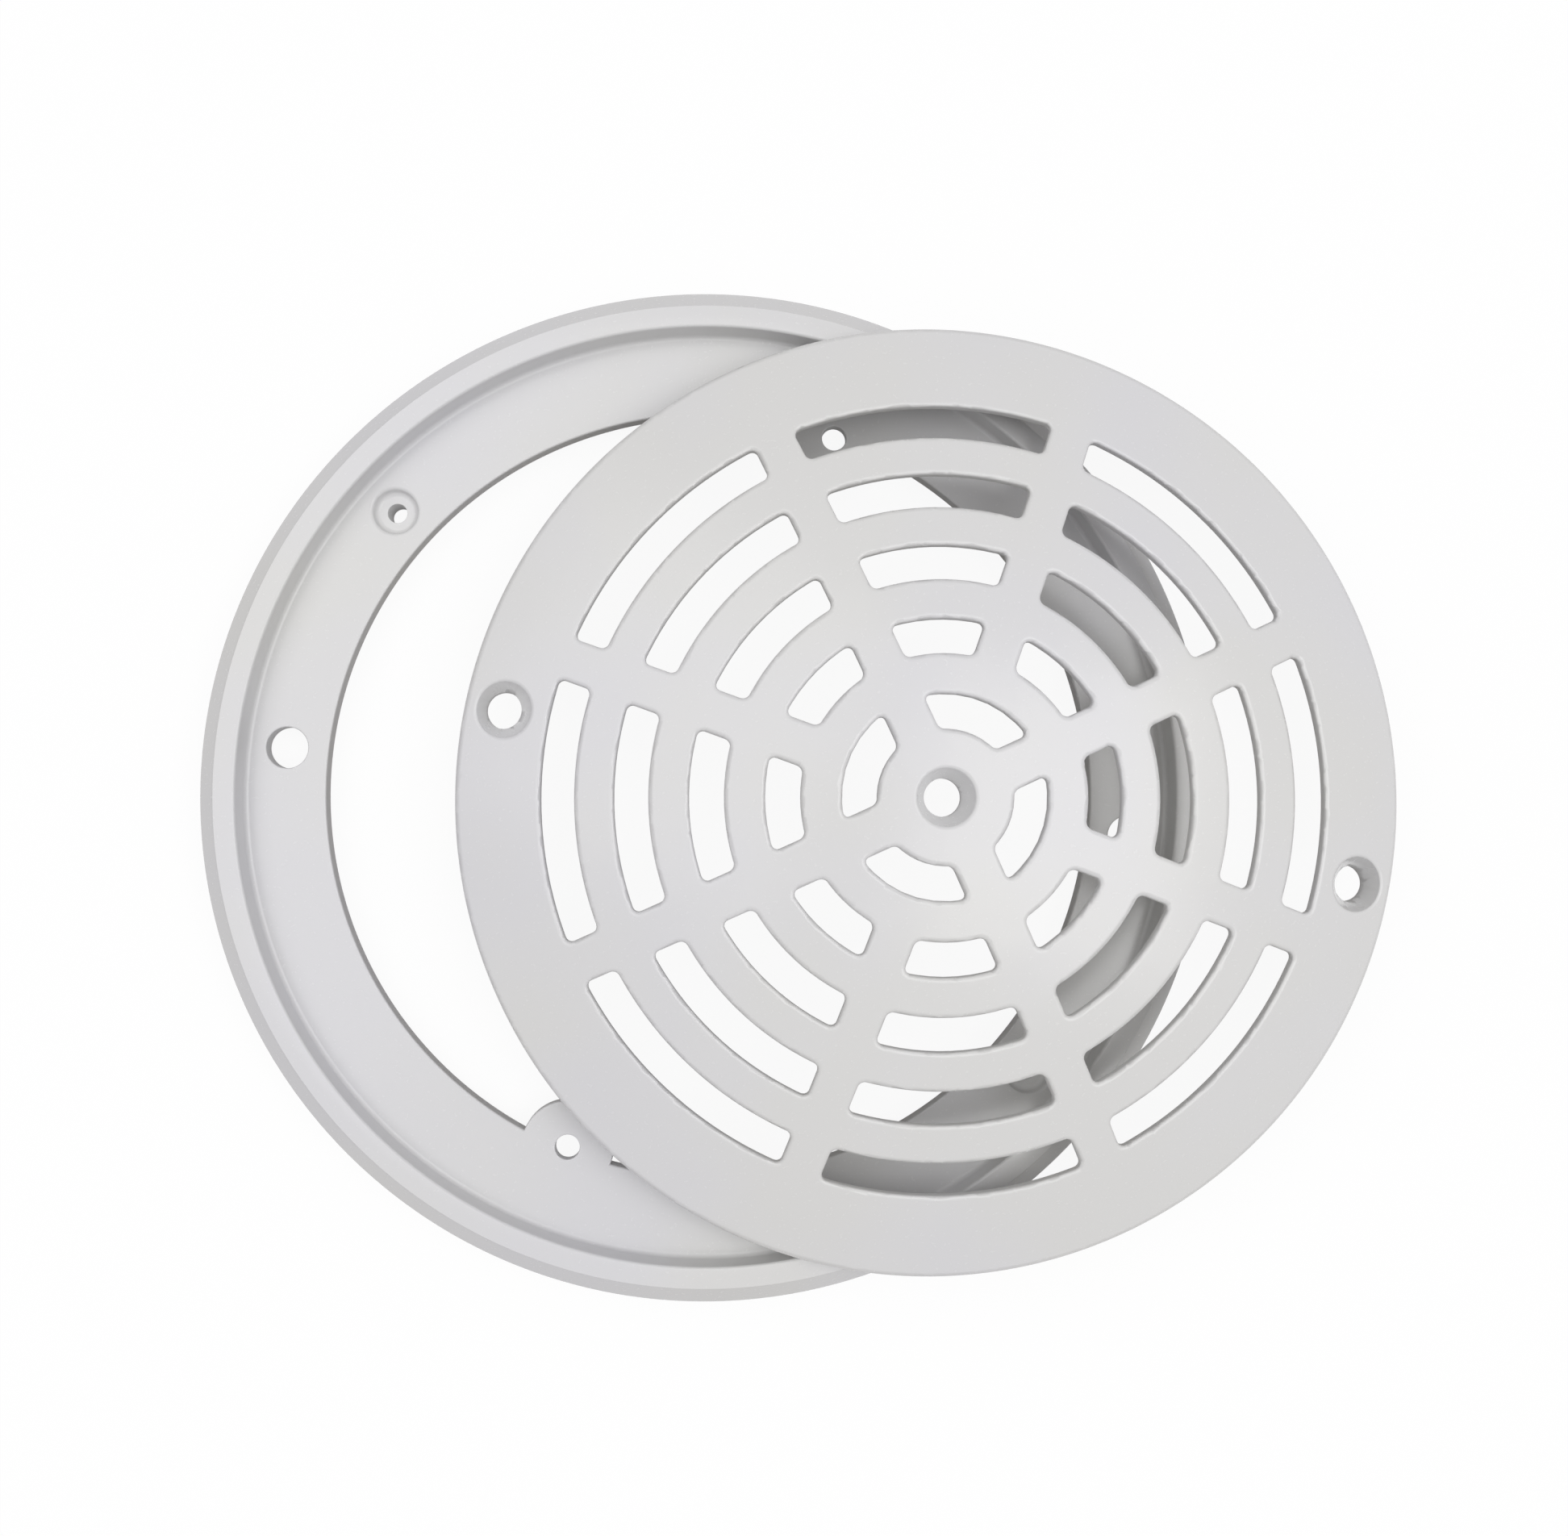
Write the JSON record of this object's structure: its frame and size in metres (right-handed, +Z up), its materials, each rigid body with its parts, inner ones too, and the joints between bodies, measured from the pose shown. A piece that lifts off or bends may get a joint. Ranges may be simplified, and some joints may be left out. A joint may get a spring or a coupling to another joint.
{
  "type": "pool main drain cover",
  "caption": "Round pool main drain cover: a domed slotted grate with countersunk screw holes, lying on the recessed mounting frame that it screws into.",
  "frame": {"origin": "centre of the mounting frame on the plane of its underside, which is also the centre of its circle of anchor holes", "axes": "+Z up through the frame towards the grate; +X from the frame's centre towards the side to which the grate is slid; +Y completes the right-handed set, up in the picture"},
  "size_m": [0.2556, 0.2182, 0.0376],
  "materials": {
    "white_plastic": "semi-gloss injection-moulded pool-grade ABS, plain white, unmarked"
  },
  "bodies": {
    "root": {"mounting_frame": "white_plastic", "grate": "white_plastic"}
  },
  "joints": []
}
